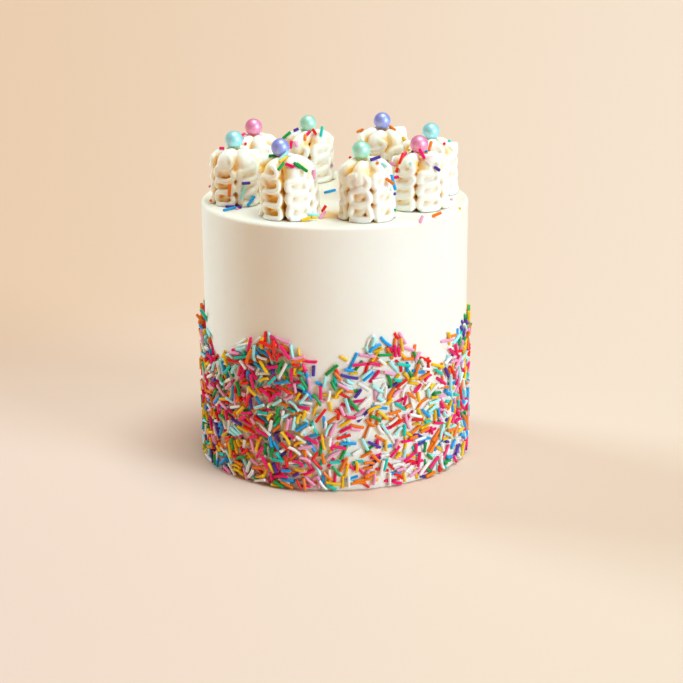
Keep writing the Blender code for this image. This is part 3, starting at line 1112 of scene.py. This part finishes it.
def layLooseWallRods():
    draw = random.Random(looseRods["seed"])
    made = 0
    for tries in range(looseRods["count"] * 6):
        if made >= looseRods["count"]:
            break
        angle = draw.uniform(0.0, 360.0)
        if draw.random() > thickness(angle):
            continue
        if fromBare(angle) < bare["halfWidth"] and draw.random() > looseRods["bareShare"]:
            continue
        length = draw.gauss(looseRods["length"], looseRods["spread"])
        length = min(looseRods["longest"], max(looseRods["shortest"], length)) * mm
        edge = edgeHeight(angle)
        spots = []
        for _ in range(looseRods["spots"]):  # the rod settles in the one with the least under it
            height = draw.random() * edge
            slant = draw.uniform(-90.0, 90.0)
            halfRise = abs(math.sin(math.radians(slant))) * length / 2
            height = max(height, halfRise + rods["radius"] + 0.3 * mm)
            if onFront(angle):  # the upper edge here belongs to the edge rods
                height = min(height, edge - looseRods["underEdge"])
            spots.append((max(pile.rest(angle, height, slant, length)), height, slant))
        _, height, slant = min(spots)
        if height > edge - looseRods["edgeZone"] and draw.random() > looseRods["edgeShare"]:
            continue
        bend = draw.choice((0.0, 0.0, 0.0, 0.0, 0.0, 0.4, -0.8)) * mm
        # painted light: paler colours on the right
        shares = [pair[angle < looseRods["right"]] for pair in colourShares.values()]
        colour = draw.choices(list(colourShares), shares)[0]
        radius = rods["radius"] * draw.uniform(0.94, 1.06)
        limit = looseRods["deepest"] * (0.45 + 0.55 * thickness(angle))
        made += layOnWall(colour, angle, height, slant, length, bend, radius, limit)
    print("loose wall rods", made, "tries", tries)


def wallPoint(x, y):
    # where the sight line through a point of the photograph meets the cake's wall, as angle and height
    away = sightLine(x, y)
    a = away.x ** 2 + away.y ** 2
    b = 2 * (cameraPlace.x * away.x + cameraPlace.y * away.y)
    c = cameraPlace.x ** 2 + cameraPlace.y ** 2 - (cake["baseRadius"] + 1.0 * mm) ** 2
    inside = b * b - 4 * a * c
    if inside < 0:
        return None
    point = cameraPlace + away * ((-b - math.sqrt(inside)) / (2 * a))
    return math.degrees(math.atan2(point.x, -point.y)), point.z


def layEdgeRods():
    draw = random.Random(looseRods["seed"] + 1)
    laid = 0
    for colour, places in edgeRods.items():
        for x1, y1, x2, y2 in places:
            first, last = wallPoint(x1, y1), wallPoint(x2, y2)
            if first is None or last is None:
                continue
            across = math.radians(last[0] - first[0]) * cake["baseRadius"]
            rise = last[1] - first[1]
            if across < 0:
                across, rise = -across, -rise
            length = max(edgeLie["shortest"], math.hypot(across, rise))
            length = min(edgeLie["longest"], length)
            slant = math.degrees(math.atan2(rise, across))
            middle = ((first[0] + last[0]) / 2, (first[1] + last[1]) / 2)
            bend = draw.choice((0.0, 0.0, 0.0, 0.5)) * mm
            deepest = edgeLie["deepest"]
            laid += layOnWall(colour, *middle, slant, length, bend, rods["radius"], deepest)
    print("edge rods", laid, "of", sum(len(places) for places in edgeRods.values()))


def layTopRods():
    # each rod lies on whatever its sight lines meet first: a swirl or the cake top
    graph = bpy.context.evaluated_depsgraph_get()
    trees = [BVHTree.FromObject(piece, graph) for piece in [cakeBody, *swirlPieces]]

    def meet(x, y):
        away = sightLine(x, y)
        hits = [tree.ray_cast(cameraPlace, away) for tree in trees]
        hits = [hit for hit in hits if hit[0] is not None]
        return min(hits, key=lambda hit: hit[3]) if hits else None

    lost = 0
    for colour, places in topRods.items():
        for x1, y1, x2, y2 in places:
            for drop in (0, 2, 2, 2, 2):  # beside a swirl's outline, it moves down until it meets it
                y1 += drop
                y2 += drop
                shares = (0.0, 0.25, 0.5, 0.75, 1.0)
                hits = [meet(x1 + (x2 - x1) * s, y1 + (y2 - y1) * s) for s in shares]
                found = [hit for hit in hits if hit]
                if found:
                    break
            if not found:
                lost += 1
                continue
            middle = hits[2] or found[0]
            near = [hit for hit in found if abs(hit[3] - middle[3]) < topLie["sameSurface"]]
            normal = sum((hit[1] for hit in near), Vector()).normalized()
            if len(near) < len(found):  # it bridges a gap, so it lies across what is nearest
                middle = min(found, key=lambda hit: hit[3])
                near = [middle]
                normal = (Vector((0.0, 0.0, 0.4)) - sightLine(x1, y1)).normalized()
            away = (middle[0] - cameraPlace).dot(normal)
            lines = [sightLine(x1, y1), sightLine(x2, y2)]
            ends = [cameraPlace + line * (away / line.dot(normal)) for line in lines]
            seen = ends[1] - ends[0]
            seenOnPhoto = math.hypot(x2 - x1, y2 - y1) / topLie["scale"] * mm
            if seenOnPhoto < topLie["endOn"]:  # a rod that points at the camera, most of it sunk in
                along = (normal * 0.5 - lines[0]).normalized()
                centre = middle[0] - along * topLie["tallest"]
                layRod(colour, centre, along, along.orthogonal(), topLie["endOnLength"])
                continue
            length = min(seen.length, topLie["longest"], seenOnPhoto * 1.5)
            lift = max((hit[0] - middle[0]).dot(normal) for hit in near)
            lift = min(lift, topLie["tallest"]) + topLie["sunk"] * rods["radius"]
            centre = middle[0] if len(found) < 3 else (ends[0] + ends[1]) / 2
            layRod(colour, centre + normal * lift, seen, normal, length)
    print("rods on top that met nothing:", lost)


def addObject(name, data):
    made = bpy.data.objects.new(name, data)
    bpy.context.scene.collection.objects.link(made)
    return made


def makeRodPiece(colour):
    places, faces, first = [], [], 0
    for points, rodFaces in rodList[colour]:
        places.append(points)
        faces += [[v + first for v in face] for face in rodFaces]
        first += len(points)
    mesh = bpy.data.meshes.new(colour + "Sprinkles")
    mesh.from_pydata(np.concatenate(places).tolist(), [], faces)
    piece = addObject(colour + "Sprinkles", mesh)
    selectOnly(piece)
    bpy.ops.object.shade_smooth_by_angle(angle=math.radians(50))
    mesh.materials.append(rodMaterials[colour])
    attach(piece, "root")
    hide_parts("cake")


pile = WallPile()
layFusedWallRods(random.Random(rods["seed"]))
layStrayRods()
layEdgeRods()
layLooseWallRods()
layTopRods()
for colour in colourNames:
    makeRodPiece(colour)
print("sprinkles ready", {colour: len(rodList[colour]) for colour in colourNames})


def makeFloor():
    # a paper sweep: paler on the right and darker on the left as painted light and shade, and deeper in
    # tone behind the cake
    deselectAll()
    bpy.ops.mesh.primitive_plane_add(size=16.0, location=(0.0, 0.0, 0.0))
    floor = bpy.context.object
    floor.name = "studioFloor"
    material, tree, shader = newMaterial("palePaper")
    coords = objectCoords(tree)
    split = tree.nodes.new("ShaderNodeSeparateXYZ")
    tree.links.new(coords, split.inputs["Vector"])
    depth = mathNode(tree, "MAXIMUM", mathNode(tree, "ADD", split.outputs["Y"], 1.05), 0.7)
    sideways = mathNode(tree, "DIVIDE", split.outputs["X"], depth)
    # painted light and shade: from the darker left to the paler right
    across = mapRange(tree, sideways, (-0.22, 0.22))
    back = mapRange(tree, split.outputs["Y"], (0.05, 0.34))
    near = mixColours(tree, across, stage["nearLeft"], stage["nearRight"])
    far = mixColours(tree, across, stage["farLeft"], stage["farRight"])
    tree.links.new(mixColours(tree, back, near, far), shader.inputs["Base Color"])
    addBump(tree, shader, noiseNode(tree, coords, 700.0), 0.05, 0.1 * mm)
    setInputs(shader, {"Roughness": 0.8, "Specular IOR Level": 0.1})
    floor.data.materials.append(material)


lamps = {
    "keyLight": dict(bearing=55, rise=15, wide=26, strength=2.85, colour=(0.53, 0.776, 1.0)),
    "topLight": dict(bearing=70, rise=79, wide=30, strength=2.50, colour=(0.77, 0.97, 1.0)),
    "backLight": dict(bearing=-120, rise=15, wide=24, strength=3.25, colour=(0.507, 0.81, 1.0)),
}


def farSoftbox(name, bearing, rise, wide, strength, colour):
    # a softbox so far off that its light is even all over the set; wide is how wide it looks, in degrees
    light = bpy.data.lights.new(name, "SUN")
    light.angle = math.radians(wide)
    light.energy = strength
    light.color = colour
    lamp = addObject(name, light)
    place = around(bearing, math.cos(math.radians(rise)), math.sin(math.radians(rise)))
    lamp.location = place
    lamp.rotation_mode = "QUATERNION"
    lamp.rotation_quaternion = (-place).to_track_quat("-Z", "Y")
    return lamp


def makeLights():
    made = {name: farSoftbox(name, **look) for name, look in lamps.items()}
    made["backLight"].visible_glossy = False  # no glints on the wall's left edge
    world = bpy.data.worlds.new("studioAir")
    bpy.context.scene.world = world
    world.use_nodes = True
    air = world.node_tree.nodes["Background"]
    air.inputs["Color"].default_value = (*stage["airColour"], 1.0)
    air.inputs["Strength"].default_value = 1.0
    bpy.context.scene.view_settings.view_transform = "Standard"


def makeCamera():
    data = bpy.data.cameras.new("photoCamera")
    data.sensor_width = 36.0
    data.lens = stage["focal"] / stage["frame"] * data.sensor_width
    data.clip_start = 0.05
    data.clip_end = 30.0
    camera = addObject("photoCamera", data)
    camera.location = cameraPlace
    camera.rotation_euler = cameraTurn.to_euler()
    bpy.context.scene.camera = camera


makeFloor()
makeLights()
makeCamera()
print("stage ready")
